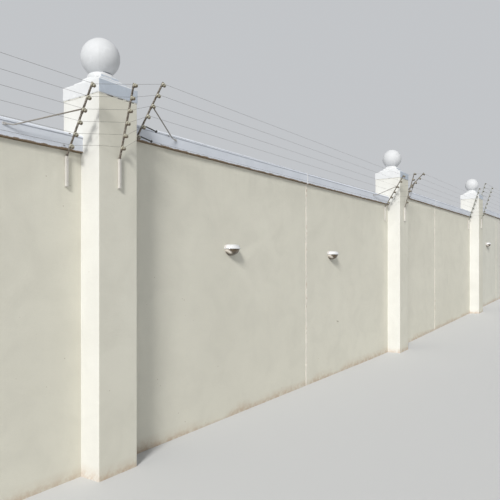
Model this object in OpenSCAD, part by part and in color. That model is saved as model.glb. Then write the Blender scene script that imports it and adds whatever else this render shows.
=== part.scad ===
// Rendered masonry garden wall that steps up in bays between square piers.
// Each pier has a stepped cap and a ball finial. A fence of six strands,
// eight in the last bay, runs along the front on leaning brackets.
// All sizes are in millimetres.
// X runs along the wall, the front faces -Y and the origin is the centre
// of the middle pier's foot.

/* [Layout] */
// Pitch of the piers in each bay, from left to right
bay_pitch = [6456, 6456, 5392, 5392]; // [5000:4:8000]
// Rise of the wall and its piers from one bay to the next
bay_step = 215; // [0:5:400]

/* [Piers] */
// Width of a pier along the wall
pier_w = 400; // [340:5:600]
// Depth of a pier from front to back
pier_d = 450; // [360:5:650]
// Height of a pier's shaft above the underside of the coping on its right
pier_rise = 246; // [180:1:400]

/* [Pier caps] */
// How far the cap's band stands out past the pier
cap_over = 5; // [0:1:60]
// Height of the cap's plain band
cap_band = 107; // [60:1:180]
// Inward run of each sloping tread of the cap
cap_tread = [56, 42, 34]; // [20:1:60]
// Rise of each sloping tread of the cap
cap_slope = [33, 26, 24]; // [0:1:40]
// Rise of the riser above each tread of the cap
cap_riser = [9, 18, 13]; // [5:1:40]
// Inward lean of each riser of the cap
cap_batter = 4; // [0:1:8]

/* [Ball finials] */
// Diameter of the ball
ball_dia = 325; // [200:5:400]
// Diameter of the flat bed that the ball stands on
ball_seat = 166; // [60:2:190]

/* [Wall] */
// Thickness of the wall between the piers
wall_t = 230; // [110:5:330]
// Height of the first bay up to the underside of its coping
wall_h = 2816; // [1800:1:3600]

/* [Movement joints] */
// Width of the movement joint in each bay
joint_w = 24; // [10:1:50]
// How far the joint strip stands out of the wall and the coping
joint_proud = 2; // [0.5:0.5:6]
// Distance from the left pier to the movement joint in each bay
joint_at = [3028, 3212, 2180, 2496]; // [1800:4:4400]

/* [Coping] */
// Height of the coping's upright face
coping_h = 145; // [80:1:160]
// How far the coping stands out past the wall
coping_over = 26; // [10:1:30]
// Rise from the coping's face to its ridge
coping_ridge = 18; // [0:1:60]
// Height of the raised bands along the top and the bottom of the face
coping_band = 26; // [10:1:30]
// How far the raised bands stand out of the face
coping_band_out = 3; // [1:0.5:6]
// Size of the eased edge along the top of the face
coping_arris = 12; // [2:1:25]

/* [Fence brackets] */
// Distance from a pier's side to the brackets on the wall beside it, as a
// share of how far the pier stands out of the wall
bracket_share = 0.664; // [0.5:0.004:1.3]
// Width of the square foot of a bracket
foot_w = 25; // [16:1:40]
// Length of the foot of a bracket
foot_l = 240; // [150:5:400]
// Width of the square strut of a bracket
strut_w = 14; // [8:1:16]
// Lean from upright of the strut at the left end of each bay
lean_at_start = [31, 37.5, 46, 16.5]; // [15:0.5:50]
// Lean from upright of the strut at the right end of each bay
lean_at_end = [31, 32.5, 18, 17]; // [15:0.5:50]
// Lean from upright of the struts on the piers
pier_lean = 16; // [12:0.5:30]
// Lean from upright of the taller struts on the last two piers
tall_pier_lean = 18; // [12:0.5:30]
// Least depth of the wall brackets' bend below the coping
wall_bend = 46; // [44:1:120]
// Depth of the pier bracket's bend below the cap
pier_bend = 500; // [350:2:600]

/* [Insulators and strands] */
// Number of strands in the bays before the last
strands = 6; // [4:1:7]
// Number of strands in the last bay
last_bay_strands = 8; // [4:1:9]
// Distance from the bend to the lowest insulator
first_insulator = 90; // [80:1:110]
// Pitch of the insulators along the strut
insulator_pitch = 100; // [80:1:120]
// Diameter of an insulator
insulator_dia = 34; // [30:1:44]
// Length of an insulator
insulator_l = 42; // [40:1:50]
// Depth of the groove round an insulator's waist
insulator_groove = 8; // [6:0.5:10]
// Diameter of a fence wire
wire_dia = 2; // [1.6:0.2:3]
// Length of the black end insulators on two strands of the second bay
end_insulator_l = 130; // [80:5:180]
// Diameter of the black end insulators' body
end_insulator_dia = 9; // [6:1:12]
// How far the black end insulators droop towards their bulb
end_insulator_droop = 18; // [0:1:30]

/* [Stays] */
// Diameter of a stay rod
stay_dia = 12; // [6:1:14]
// Distance along the wall from a bracket to its stay's foot
stay_run = 530; // [300:10:900]
// Depth of a stay's foot below the upper band of the coping's face
stay_foot_drop = 23; // [14:1:30]

/* [Wall lights] */
// Width of a wall light
light_w = 220; // [150:2:300]
// Height of a light's hood
hood_h = 50; // [30:1:80]
// Height of a light's bowl
bowl_h = 72; // [40:1:120]
// Distance from the left pier to the first light in the second and last bays
light_at = [1573, 1380]; // [900:1:1620]
// Distance from the movement joint to the second light of a lit bay
light_past_joint = 696; // [250:1:1300]
// Depth of the lights below the coping's underside in the second and last bays
light_drop = [920, 830]; // [300:5:1600]

/* [Hidden] */

piers = 5;
bays = piers - 1;
middle_pier = 2;
fine = 0.8;             // gap left between a wire and what it bears on
seat_gap = 0.05;        // gap left between an insulator and its strut
wire_trim = 0.45;       // length left off a wire at each insulator
wire_seat = 16;         // from the nearer end of an insulator to its wire
bend_swell = 1.15;      // thickness of a stay at its knee, in its diameters
stay_from_top = 3;      // insulator, counted from the top, that holds the stay
stay_pad = [34, 22, 6];
stay_knee = [60, 22];   // from a stay's foot to its knee, along and out
stayed_piers = [0, 1, 2, 4];
lit_bays = [1, 3];
spliced_bay = 1;        // bay with the black end insulators
spliced_strands = 2;

pier_front = -pier_d / 2;
wall_back = pier_d / 2;
wall_front = wall_back - wall_t;
wall_mid = wall_back - wall_t / 2;
coping_face = wall_front - coping_over;
cap_top = cap_band + sum_to(cap_slope, 3) + sum_to(cap_riser, 3);
ball_drop = sqrt(pow(ball_dia / 2, 2) - pow(ball_seat / 2, 2));
bracket_at = bracket_share * (pier_d / 2 + wall_front);
waist_dia = insulator_dia - 2 * insulator_groove;
strut_past_end = 18;
strut_clear = 3;        // gap between a strut and the edge of the coping
end_insulator_bulb = 2 * end_insulator_dia;

// The sum of the first n values of a list
function sum_to(values, n) = n <= 0 ? 0 : values[n - 1] + sum_to(values, n - 1);

// The left side of pier i, the top of its shaft, and the middle of its width
function pier_left(i) = sum_to(bay_pitch, i) - sum_to(bay_pitch, middle_pier) - pier_w / 2;
function pier_top(i) = wall_top(i) + pier_rise;
function pier_mid(i) = pier_left(i) + pier_w / 2;

// The clear stretch of bay j between its two piers, and the top of its wall
function bay_left(j) = pier_left(j) + pier_w;
function bay_right(j) = pier_left(j + 1);
function wall_top(j) = wall_h + j * bay_step;
function joint_left(j) = bay_left(j) + joint_at[j];

// The strands of bay j, and the insulators on each bracket of pier i
function bay_strands(j) = j < bays - 1 ? strands : last_bay_strands;
function held(i) = max(bay_strands(max(i - 1, 0)), bay_strands(min(i, bays - 1)));

// The height of the bend of a bracket on the wall of bay j, low enough for its
// strut to pass the coping's edge
function bend_z(j, lean) = wall_top(j) - max(wall_bend,
    (coping_over + strut_clear + strut_w / 2 / cos(lean) - foot_w / 2) / tan(lean));

// A bracket is [x, y of the face that holds it, z of its bend, lean,
// side that its stay runs to or 0, number of insulators, height of the wall's
// top or 0 on a pier]
function stay_side(i, side) = len(search(i, stayed_piers)) > 0 ? side : 0;
function left_bracket(i) = [pier_left(i) - bracket_at, wall_front,
    bend_z(i - 1, lean_at_end[i - 1]), lean_at_end[i - 1], stay_side(i, -1), held(i),
    wall_top(i - 1)];
function right_bracket(i) = [pier_left(i) + pier_w + bracket_at, wall_front,
    bend_z(i, lean_at_start[i]), lean_at_start[i], stay_side(i, 1), held(i), wall_top(i)];
function pier_bracket(i) = [pier_mid(i), pier_front, pier_top(i) - pier_bend,
    held(i) > strands ? tall_pier_lean : pier_lean, 0, held(i), 0];
function brackets(i) = concat(
    i > 0 ? [left_bracket(i)] : [],
    [pier_bracket(i)],
    i < bays ? [right_bracket(i)] : []);

// A point of bracket b: along the strut, out from its axis, and up from that line
function strut_point(b, along, out = 0, up = 0) = [
    b[0],
    b[1] - foot_w / 2 - (along + up) * sin(b[3]) - out * cos(b[3]),
    b[2] + (along + up) * cos(b[3]) - out * sin(b[3])];
function insulator_along(k) = first_insulator + k * insulator_pitch;

// The distance from the strut to the wires, and the point where strand k is held
function seat(b) = b[6] > 0 ? wire_seat : insulator_l - wire_seat;
function wire_point(b, k) = strut_point(b, insulator_along(k),
    strut_w / 2 + seat(b), waist_dia / 2 + wire_dia / 2 + fine);

// Where a strand from point a to point b bends round the pier's corner at x, if
// the straight way would cut it
function corner(a, b, x, side) =
    let (clear = wire_dia / 2 + fine, share = (x + side * clear - a[0]) / (b[0] - a[0]),
         on_way = a + (b - a) * share)
    on_way[1] < pier_front - clear ? [] : [[on_way[0], pier_front - clear, on_way[2]]];

// The outline of the coping's cross-section, grown by the given amount
function coping_side(grow) = [
    [wall_t / 2 + coping_over + grow, -grow],
    [wall_t / 2 + coping_over + grow, coping_band],
    [wall_t / 2 + coping_over - coping_band_out + grow, coping_band],
    [wall_t / 2 + coping_over - coping_band_out + grow, coping_h - coping_band],
    [wall_t / 2 + coping_over + grow, coping_h - coping_band],
    [wall_t / 2 + coping_over + grow, coping_h - coping_arris + grow],
    [wall_t / 2 + coping_over - coping_arris + grow, coping_h + grow]];
function mirrored(points) =
    [for (k = [len(points) - 1 : -1 : 0]) [-points[k][0], points[k][1]]];
function coping_outline(grow) = concat(
    coping_side(grow), [[0, coping_h + coping_ridge + grow]], mirrored(coping_side(grow)));

// The outline of a cap's cross-section over a pier that is w wide
function cap_side(w) = concat(
    [[w / 2 + cap_over, 0], [w / 2 + cap_over, cap_band]],
    [for (k = [0 : 2], step = [0, 1])
        [w / 2 - sum_to(cap_tread, k + 1) - (k + step) * cap_batter,
         cap_band + sum_to(cap_slope, k + 1) + sum_to(cap_riser, k + step)]]);
function cap_outline(w) = concat(cap_side(w), mirrored(cap_side(w)));

// A box given by its lowest corner and its size
module box(corner, size) {
    translate(corner) cube(size);
}

// An outline in Y and Z, drawn out along X
module along_x(x, length) {
    translate([x, 0, 0]) rotate([90, 0, 90]) linear_extrude(height = length) children();
}

// A round rod from point a to point b, with the given lengths left off its ends
module rod(a, b, dia, off_a = 0, off_b = 0) {
    d = b - a;
    translate(a) rotate([0, acos(d[2] / norm(d)), atan2(d[1], d[0])])
        translate([0, 0, off_a]) cylinder(h = norm(d) - off_a - off_b, d = dia, $fn = 24);
}

// The direction from point a to point b
function way(a, b) = (b - a) / norm(b - a);

// The length left off a wire at point k. Two wires that meet there at an angle
// just clear each other.
function bend_trim(points, k) = k == 0 || k == len(points) - 1 ? wire_trim
    : wire_trim / 2 + wire_dia / 2
        * tan(acos(way(points[k - 1], points[k]) * way(points[k], points[k + 1])) / 2);

// A wire in straight lengths from point to point
module wire(points) {
    for (k = [0 : len(points) - 2])
        rod(points[k], points[k + 1], wire_dia, bend_trim(points, k), bend_trim(points, k + 1));
}

// Piers, caps and balls
module pier(i) {
    color("ivory")
        box([pier_left(i), pier_front, 0], [pier_w, pier_d, pier_top(i)]);
}

module pier_cap(i) {
    reach = 2 * (cap_over + 1);
    color("white")
    translate([pier_mid(i), 0, pier_top(i)])
    intersection() {
        translate([0, (pier_d + reach) / 2, 0]) rotate([90, 0, 0])
            linear_extrude(height = pier_d + reach) polygon(cap_outline(pier_w));
        along_x(-(pier_w + reach) / 2, pier_w + reach) polygon(cap_outline(pier_d));
    }
}

module ball_finial(i) {
    color("whitesmoke")
    translate([pier_mid(i), 0, pier_top(i) + cap_top])
    difference() {
        translate([0, 0, ball_drop]) sphere(d = ball_dia, $fn = 96);
        box([-ball_dia / 2, -ball_dia / 2, -ball_dia], [ball_dia, ball_dia, ball_dia]);
    }
}

// Walls, movement joints and copings
module wall(j) {
    color("ivory") {
        box([bay_left(j), wall_front, 0], [joint_at[j], wall_t, wall_top(j)]);
        box([joint_left(j) + joint_w, wall_front, 0],
            [bay_right(j) - joint_left(j) - joint_w, wall_t, wall_top(j)]);
    }
}

module movement_joint(j) {
    color("gainsboro") {
        box([joint_left(j), wall_front - joint_proud, 0],
            [joint_w, wall_t + 2 * joint_proud, wall_top(j)]);
        translate([0, wall_mid, wall_top(j)])
            along_x(joint_left(j), joint_w) polygon(coping_outline(joint_proud));
    }
}

module coping(j) {
    color("white") translate([0, wall_mid, wall_top(j)]) {
        along_x(bay_left(j), joint_at[j]) polygon(coping_outline(0));
        along_x(joint_left(j) + joint_w, bay_right(j) - joint_left(j) - joint_w)
            polygon(coping_outline(0));
    }
}

// A bracket: an upright square foot on the face, and a strut that leans out
module bracket(b) {
    strut_l = insulator_along(b[5] - 1) + strut_past_end;
    root = foot_w / 5;
    box([b[0] - foot_w / 2, b[1] - foot_w, b[2] - foot_l], [foot_w, foot_w, foot_l]);
    translate([b[0], b[1] - foot_w / 2, b[2]]) rotate([b[3], 0, 0])
        box([-strut_w / 2, -strut_w / 2, -root], [strut_w, strut_w, strut_l + root]);
}

// A stay from the back of the strut down to a pad on the coping's face
module stay(b) {
    side = b[4];
    foot = [b[0] + side * stay_run, coping_face + coping_band_out,
        b[6] + coping_h - coping_band - stay_foot_drop];
    knee = foot - [side * stay_knee[0], stay_knee[1], 0];
    top = strut_point(b, insulator_along(b[5] - stay_from_top), -strut_w / 2);
    rod(foot - [0, stay_dia / 2 + 1, 0], knee, stay_dia);
    rod(knee, top, stay_dia);
    translate(knee) sphere(d = bend_swell * stay_dia, $fn = 24);
    box(foot - [stay_pad[0] / 2, stay_pad[2], stay_pad[1] / 2],
        [stay_pad[0], stay_pad[2], stay_pad[1]]);
}

module fence_brackets(i) {
    color("dimgray")
    for (b = brackets(i)) {
        bracket(b);
        if (b[4] != 0) stay(b);
    }
}

// A bobbin whose base is at the origin and whose axis is Z
module insulator() {
    r = insulator_dia / 2;
    ease = 3;
    flange = 6;
    rotate_extrude($fn = 48)
        polygon([
            [0, 0], [r - ease, 0], [r, ease], [r, flange], [waist_dia / 2, flange + ease],
            [waist_dia / 2, insulator_l - flange - ease], [r, insulator_l - flange],
            [r, insulator_l - ease], [r - ease, insulator_l], [0, insulator_l]]);
}

module insulators(i) {
    color("tan")
    for (b = brackets(i), k = [0 : b[5] - 1])
        translate(strut_point(b, insulator_along(k), strut_w / 2 + seat_gap))
        rotate([90 + b[3], 0, 0]) insulator();
}

// Where the black end insulator of strand k begins, and the middle of its bulb
function splice_start(k) =
    wire_point(right_bracket(spliced_bay), k) + [insulator_dia / 2, 0, 0];
function splice_bulb(k) = splice_start(k) + [
    sqrt(pow(end_insulator_l, 2) - pow(end_insulator_droop, 2)), 0, -end_insulator_droop];

// Black end insulators, each a rod that ends in a bulb
module end_insulators() {
    color("black")
    for (k = [0 : spliced_strands - 1]) {
        rod(splice_start(k), splice_bulb(k), end_insulator_dia);
        translate(splice_bulb(k)) sphere(d = end_insulator_bulb, $fn = 32);
    }
}

// The strands along bay j
module fence_wires(j) {
    color("silver")
    for (k = [0 : bay_strands(j) - 1]) {
        spliced = j == spliced_bay && k < spliced_strands;
        start = wire_point(right_bracket(j), k);
        end = wire_point(left_bracket(j + 1), k);
        if (spliced) wire([start, splice_start(k)]);
        wire([spliced ? splice_bulb(k) + [end_insulator_bulb / 2, 0, 0] : start, end]);
    }
}

// The strands round the front of pier i
module pier_wires(i) {
    color("silver")
    for (k = [0 : held(i) - 1]) {
        front = wire_point(pier_bracket(i), k);
        left = i > 0 ? wire_point(left_bracket(i), k) : front;
        right = i < bays ? wire_point(right_bracket(i), k) : front;
        wire(concat(
            i > 0 ? concat([left], corner(left, front, pier_left(i), -1)) : [],
            [front],
            i < bays ? concat(corner(right, front, pier_left(i) + pier_w, 1), [right]) : []));
    }
}

// Half-round wall lights, with a hood over a bowl
module half_round(points) {
    intersection() {
        rotate_extrude($fn = 96) polygon(points);
        box([-light_w, -light_w, -bowl_h - 1], [2 * light_w, light_w, bowl_h + hood_h + 2]);
    }
}

module at_lights() {
    for (k = [0 : 1]) {
        j = lit_bays[k];
        for (x = [bay_left(j) + light_at[k], joint_left(j) + joint_w + light_past_joint])
            translate([x, wall_front, wall_top(j) - light_drop[k]]) children();
    }
}

module light_hoods() {
    r = light_w / 2;
    color("white") at_lights()
        half_round(concat([[0, 0], [r, 0]],
            [for (a = [0 : 15 : 90]) [r * (0.62 + 0.34 * cos(a)), 6 + (hood_h - 6) * sin(a)]],
            [[0, hood_h]]));
}

module light_bowls() {
    r = 0.95 * light_w / 2;
    color("saddlebrown") at_lights()
        half_round(concat([[0, 0]], [for (a = [0 : 10 : 90]) [r * cos(a), -bowl_h * sin(a)]]));
}

pier(0);  // pier_1
pier(1);  // pier_2
pier(2);  // pier_3
pier(3);  // pier_4
pier(4);  // pier_5
pier_cap(0);  // pier_cap_1
pier_cap(1);  // pier_cap_2
pier_cap(2);  // pier_cap_3
pier_cap(3);  // pier_cap_4
pier_cap(4);  // pier_cap_5
ball_finial(0);  // ball_finial_1
ball_finial(1);  // ball_finial_2
ball_finial(2);  // ball_finial_3
ball_finial(3);  // ball_finial_4
ball_finial(4);  // ball_finial_5
wall(0);  // wall_1
wall(1);  // wall_2
wall(2);  // wall_3
wall(3);  // wall_4
movement_joint(0);  // movement_joint_1
movement_joint(1);  // movement_joint_2
movement_joint(2);  // movement_joint_3
movement_joint(3);  // movement_joint_4
coping(0);  // coping_1
coping(1);  // coping_2
coping(2);  // coping_3
coping(3);  // coping_4
fence_brackets(0);  // fence_brackets_1
fence_brackets(1);  // fence_brackets_2
fence_brackets(2);  // fence_brackets_3
fence_brackets(3);  // fence_brackets_4
fence_brackets(4);  // fence_brackets_5
insulators(0);  // insulators_1
insulators(1);  // insulators_2
insulators(2);  // insulators_3
insulators(3);  // insulators_4
insulators(4);  // insulators_5
fence_wires(0);  // fence_wires_1
fence_wires(1);  // fence_wires_2
fence_wires(2);  // fence_wires_3
fence_wires(3);  // fence_wires_4
pier_wires(0);  // pier_wires_1
pier_wires(1);  // pier_wires_2
pier_wires(2);  // pier_wires_3
pier_wires(3);  // pier_wires_4
pier_wires(4);  // pier_wires_5
end_insulators();
light_hoods();
light_bowls();
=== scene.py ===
import itertools
import math

import bpy
import numpy as np
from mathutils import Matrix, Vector


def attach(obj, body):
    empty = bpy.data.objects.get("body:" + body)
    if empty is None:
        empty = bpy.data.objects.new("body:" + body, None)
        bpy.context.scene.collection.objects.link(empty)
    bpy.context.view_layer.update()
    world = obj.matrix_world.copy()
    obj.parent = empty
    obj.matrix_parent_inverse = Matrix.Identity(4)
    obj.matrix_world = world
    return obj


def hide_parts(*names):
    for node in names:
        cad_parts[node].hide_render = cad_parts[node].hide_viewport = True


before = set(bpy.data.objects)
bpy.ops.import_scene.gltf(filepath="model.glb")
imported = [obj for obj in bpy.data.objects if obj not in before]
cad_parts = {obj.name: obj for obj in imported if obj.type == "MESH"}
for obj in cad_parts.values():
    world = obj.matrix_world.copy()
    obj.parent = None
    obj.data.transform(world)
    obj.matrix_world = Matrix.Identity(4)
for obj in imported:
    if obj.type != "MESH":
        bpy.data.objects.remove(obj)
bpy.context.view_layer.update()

# Sizes of the CAD model, in metres, and its leans in degrees
PITCH = (6.456, 6.456, 5.392, 5.392)
STEP = 0.215
PIER_W, PIER_D, PIER_H = 0.400, 0.450, 3.062
WALL_T, WALL_H = 0.230, 2.816
WALL_FRONT, WALL_MID = PIER_D / 2 - WALL_T, PIER_D / 2 - WALL_T / 2
JOINT_W, JOINT_AT = 0.024, (3.028, 3.212, 2.180, 2.496)
COPING_H, COPING_OVER, COPING_RIDGE = 0.145, 0.026, 0.018
COPING_BAND, COPING_BAND_OUT, COPING_ARRIS = 0.026, 0.003, 0.012
COPING_PANEL_Y = WALL_FRONT - COPING_OVER + COPING_BAND_OUT
CAP_TOP = 0.230
BALL_R, BALL_SEAT_R = 0.1625, 0.083
BRACKET_AT, FOOT_W, FOOT_L, STRUT_W = 0.14608, 0.025, 0.240, 0.014
LEAN_AT_START = (31, 37.5, 46, 16.5)
LEAN_AT_END = (31, 32.5, 18, 17)
PIER_LEAN, TALL_PIER_LEAN = 16, 18
WALL_BEND, PIER_BEND, STRUT_CLEAR, STRUT_PAST_END = 0.046, 0.500, 0.003, 0.018
STRANDS, LAST_BAY_STRANDS = 6, 8
FIRST_INSULATOR, INSULATOR_PITCH = 0.090, 0.100
INSULATOR_R, INSULATOR_L, WAIST_R = 0.017, 0.042, 0.009
WIRE_R, WIRE_SEAT, WIRE_OFF = 0.001, 0.016, 0.0008
STAY_R, STAY_RUN, STAY_FOOT_Z, STAY_KNEE = 0.006, 0.530, 0.096, (0.060, 0.022)
STAYED = (0, 1, 2, 4)
SPLICED_BAY, SPLICED_STRANDS = 1, 2
END_INSULATOR_L, END_INSULATOR_DROOP, BULB_R = 0.130, 0.018, 0.009
LIGHT_R, HOOD_H, BOWL_H = 0.110, 0.050, 0.072
LIGHTS = ((-4.683, 2.111), (-2.324, 2.111), (6.972, 2.631), (8.808, 2.631))
PIERS, BAYS = range(5), range(4)

X, Y, Z = np.eye(3)


def pier_left(i):
    return sum(PITCH[:i]) - sum(PITCH[:2]) - PIER_W / 2


def pier_mid(i):
    return pier_left(i) + PIER_W / 2


def pier_top(i):
    return PIER_H + i * STEP


def wall_top(j):
    return WALL_H + j * STEP


def bay_left(j):
    return pier_left(j) + PIER_W


def bay_right(j):
    return pier_left(j + 1)


def joint_left(j):
    return bay_left(j) + JOINT_AT[j]


def strands(j):
    return LAST_BAY_STRANDS if j == BAYS[-1] else STRANDS


def held(i):
    return max(strands(max(i - 1, 0)), strands(min(i, BAYS[-1])))


FLOOR_X = (-60, -13.112, -6.456, 0, 5.392, 11.0, 60)
FLOOR_Z = (0, 0, 0.215, 0.472, 0.841, 1.232, 1.232)


def floor_at(x):
    """Height of the floor along the wall, which rises with the bays."""
    return np.interp(x, FLOOR_X, FLOOR_Z)


# Noise and mesh tools
def hashed(cells, seed):
    """A value from 0 to 1 for each whole-number cell."""
    h = (cells[:, 0] * 73856093) ^ (cells[:, 1] * 19349663) ^ (cells[:, 2] * 83492791) ^ (seed * 2654435)
    h = ((h ^ (h >> 13)) * 1274126177) & 0x7FFFFFFF
    return ((h ^ (h >> 15)) & 0xFFFF) / 65535.0


def noise(points, size, seed):
    """Smooth noise from 0 to 1, with features of the given size."""
    q = np.asarray(points, float) / np.asarray(size, float)
    base = np.floor(q).astype(np.int64)
    f = q - base
    f = f * f * (3 - 2 * f)
    total = np.zeros(len(q))
    for corner in itertools.product((0, 1), repeat=3):
        total += np.prod(np.where(corner, f, 1 - f), axis=1) * hashed(base + corner, seed)
    return total


def clip01(values):
    return np.clip(values, 0, 1)


def wear(points, chips, least, dents, share, seeds):
    """How worn a corner is: chips where their noise is over the least value, and a share of shallow dents."""
    return clip01(noise(points, chips, seeds[0]) - least) + share * noise(points, dents, seeds[1])


def weathered(points, normal, corner, waves, chip, settings, seed):
    """Points set back from a face by waves, each a depth and a size, and by wear at its corners."""
    sink = sum(depth * noise(points, size, seed + k) for k, (depth, size) in enumerate(waves))
    sink += corner * chip * wear(points, *settings, (seed + 2, seed + 3))
    return points - normal * sink[:, None]


def unit(v):
    v = np.asarray(v, float)
    return v / np.linalg.norm(v, axis=-1, keepdims=True)


GUARD = 0.005


def stops(length, cell):
    """Shares along an edge where it is divided, with one close to each end to keep wear at the corner."""
    if length < 3 * GUARD:
        return []
    parts = int(length / cell + 0.5)
    return [GUARD / length] + [t / parts for t in range(1, parts)] + [1 - GUARD / length]


def bend(a, knee, b, t):
    """The point at share t of a smooth bend from a to b round a knee."""
    return (1 - t) ** 2 * a + 2 * t * (1 - t) * knee + t ** 2 * b


def eased(points, radii, steps=3, closed=True, cell=None):
    """An outline with rounded corners and its long edges divided, and how near each point is to a corner."""
    points = np.asarray(points, float)
    n = len(points)
    out = []
    for k, (here, radius) in enumerate(zip(points, np.broadcast_to(radii, n))):
        if not closed and k in (0, n - 1):
            out.append((here, 0.0))
            continue
        back, ahead = points[k - 1] - here, points[(k + 1) % n] - here
        lb, la = np.linalg.norm(back), np.linalg.norm(ahead)
        back, ahead = back / lb, ahead / la
        half = math.acos(np.clip(back @ ahead, -1, 1)) / 2
        cut = min(radius / max(math.tan(half), 0.05), 0.45 * lb, 0.45 * la)
        out += [(bend(here + back * cut, here, here + ahead * cut, t), 1.0)
                for t in np.linspace(0, 1, steps + 1)]
    fine = []
    for k, (here, near) in enumerate(out):
        fine.append((here, near))
        if cell and (closed or k < len(out) - 1):
            ahead = out[(k + 1) % len(out)][0] - here
            fine += [(here + ahead * share, 0.0) for share in stops(np.linalg.norm(ahead), cell)]
    return tuple(np.array(part) for part in zip(*fine))


def rectangle(hx, hy, ease, nx, ny, arc=3):
    """Points round a rectangle with eased corners, anticlockwise, and how near each is to a corner."""
    out = []
    for k, (sx, sy) in enumerate(((1, 1), (-1, 1), (-1, -1), (1, -1))):
        for a in (k + np.arange(arc + 1) / arc) * math.pi / 2:
            out.append((sx * (hx - ease) + ease * math.cos(a), sy * (hy - ease) + ease * math.sin(a), 1.0))
        parts, half = (ny, hy) if k % 2 else (nx, hx)
        run_x, run_y = ((-1, 0), (0, -1), (1, 0), (0, 1))[k]
        length = 2 * (half - ease)
        x, y = out[-1][:2]
        out += [(x + run_x * length * share, y + run_y * length * share, 0.0)
                for share in (stops(length, length / parts) if parts > 1 else ())]
    out = np.array(out)
    return out[:, :2], out[:, 2]


def pier_ring(over, ease, nx, ny):
    """A rectangle that stands out past the sides of a pier by the given amount."""
    return rectangle(PIER_W / 2 + over, PIER_D / 2 + over, ease, nx, ny)


def outward(outline):
    """The direction out of an anticlockwise outline at each of its points."""
    d = np.roll(outline, -1, 0) - np.roll(outline, 1, 0)
    return unit(np.column_stack([d[:, 1], -d[:, 0]]))


def at_height(outline, z, x=0.0):
    """An outline moved along X and laid at one height."""
    return np.column_stack([outline + (x, 0), np.full(len(outline), z)])


def stacked(outline, levels):
    """The outline at each level, a pair of its scale there and its height."""
    return np.array([at_height(outline * scale, z) for scale, z in levels])


def upright(outline, levels):
    """The points of an outline at each height, and the direction out of it at each point."""
    points = np.column_stack([np.tile(outline, (len(levels), 1)), np.repeat(levels, len(outline))])
    return points, np.column_stack([np.tile(outward(outline), (len(levels), 1)), np.zeros(len(points))])


def polar(radius, angles, height):
    """Points at the given radius, angles and height."""
    return np.column_stack([radius * np.cos(angles), radius * np.sin(angles),
                            np.broadcast_to(height, len(angles))])


def loft(rings, ends=True):
    """The surface through rings of points, each anticlockwise about the way they run."""
    rings = np.asarray(rings, float)
    m, n = rings.shape[:2]
    a = np.arange(m * n).reshape(m, n)
    b = np.roll(a, -1, axis=1)
    faces = np.stack([a[:-1], b[:-1], b[1:], a[1:]], -1).reshape(-1, 4).tolist()
    if ends:
        faces += [a[0, ::-1].tolist(), a[-1].tolist()]
    return rings.reshape(-1, 3), faces


def axes_to_world(local, origin, ax, ay, az):
    """Local points taken to the frame whose axes are given."""
    return np.asarray(origin) + local[..., :1] * ax + local[..., 1:2] * ay + local[..., 2:] * az


def slab(hx, hy, ease, levels, *axes):
    """A rectangle with eased corners, stacked by the levels in the frame whose origin and axes are given."""
    return loft(axes_to_world(stacked(rectangle(hx, hy, ease, 2, 2)[0], levels), *axes))


def lathe(profile, turns, origin, ax, ay, az):
    """A profile of (radius, height) pairs turned about the local Z, at the given angles or in equal turns."""
    angles = np.asarray(turns if np.ndim(turns) else np.arange(turns) * 2 * math.pi / turns)
    return loft(axes_to_world(np.stack([polar(r, angles, h) for r, h in profile]), origin, ax, ay, az))


def tube(points, radius, sides, ends=True):
    """A round tube along a line of points."""
    points = np.asarray(points, float)
    along = unit(np.gradient(points, axis=0))
    side = np.cross(along[0], Z if abs(along[0][2]) < 0.9 else Y)
    a = np.arange(sides) * 2 * math.pi / sides
    rings = []
    for p, t, r in zip(points, along, np.broadcast_to(radius, len(points))):
        side = unit(side - t * (side @ t))
        rings.append(p + r * (np.cos(a)[:, None] * side + np.sin(a)[:, None] * np.cross(t, side)))
    return loft(rings, ends)


def smooth_mesh(name, points, faces):
    mesh = bpy.data.meshes.new(name)
    mesh.from_pydata(points, [], faces)
    mesh.polygons.foreach_set("use_smooth", [True] * len(faces))
    return mesh


def placed(name, data):
    """A new object in the scene."""
    ob = bpy.data.objects.new(name, data)
    bpy.context.scene.collection.objects.link(ob)
    return ob


def aim(ob, location, backward):
    """Puts an object at a place, with its local Z pointing backward."""
    ob.location = location
    ob.rotation_mode = "QUATERNION"
    ob.rotation_quaternion = Vector(backward).to_track_quat("Z", "Y")


FACE_H = 0.2
MARKS = ("edge", "soil", "streak", "rise")


class Piece:
    """Collects the surfaces of one piece. Each point has a share of edge wear and painted highlight, of dirt
    and painted shade, and of streaks, and its height on the face as a share of FACE_H."""

    def __init__(self):
        self.points, self.faces, self.marks, self.which = [], [], [], []
        self.count = 0

    def add(self, mesh, edge=0.0, soil=0.0, streak=0.0, rise=1.0, material=0):
        points, faces = mesh
        n = len(points)
        self.points.append(np.asarray(points, float))
        self.faces += [[v + self.count for v in f] for f in faces]
        self.which += material if isinstance(material, list) else [material] * len(faces)
        self.marks.append(np.column_stack([np.broadcast_to(m, n) for m in (edge, soil, streak, rise)]))
        self.count += n

    def make(self, node, part, materials, slot, sharp=40, replace=True):
        """The object named after a node and a part of it, which stands for the node unless replace is off."""
        mesh = smooth_mesh(node + part, np.concatenate(self.points).tolist(), self.faces)
        mesh.polygons.foreach_set("material_index", self.which)
        marks = clip01(np.concatenate(self.marks)).astype(np.float32)
        for k, mark in enumerate(MARKS):
            mesh.attributes.new(mark, "FLOAT", "POINT").data.foreach_set("value", marks[:, k])
        for m in materials:
            mesh.materials.append(m)
        mesh.set_sharp_from_angle(angle=math.radians(sharp))
        mesh.validate()
        ob = placed(node + part, mesh)
        ob.modifiers.new("normals", "WEIGHTED_NORMAL").keep_sharp = True
        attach(ob, "root")
        if replace:
            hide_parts(node)


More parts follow.
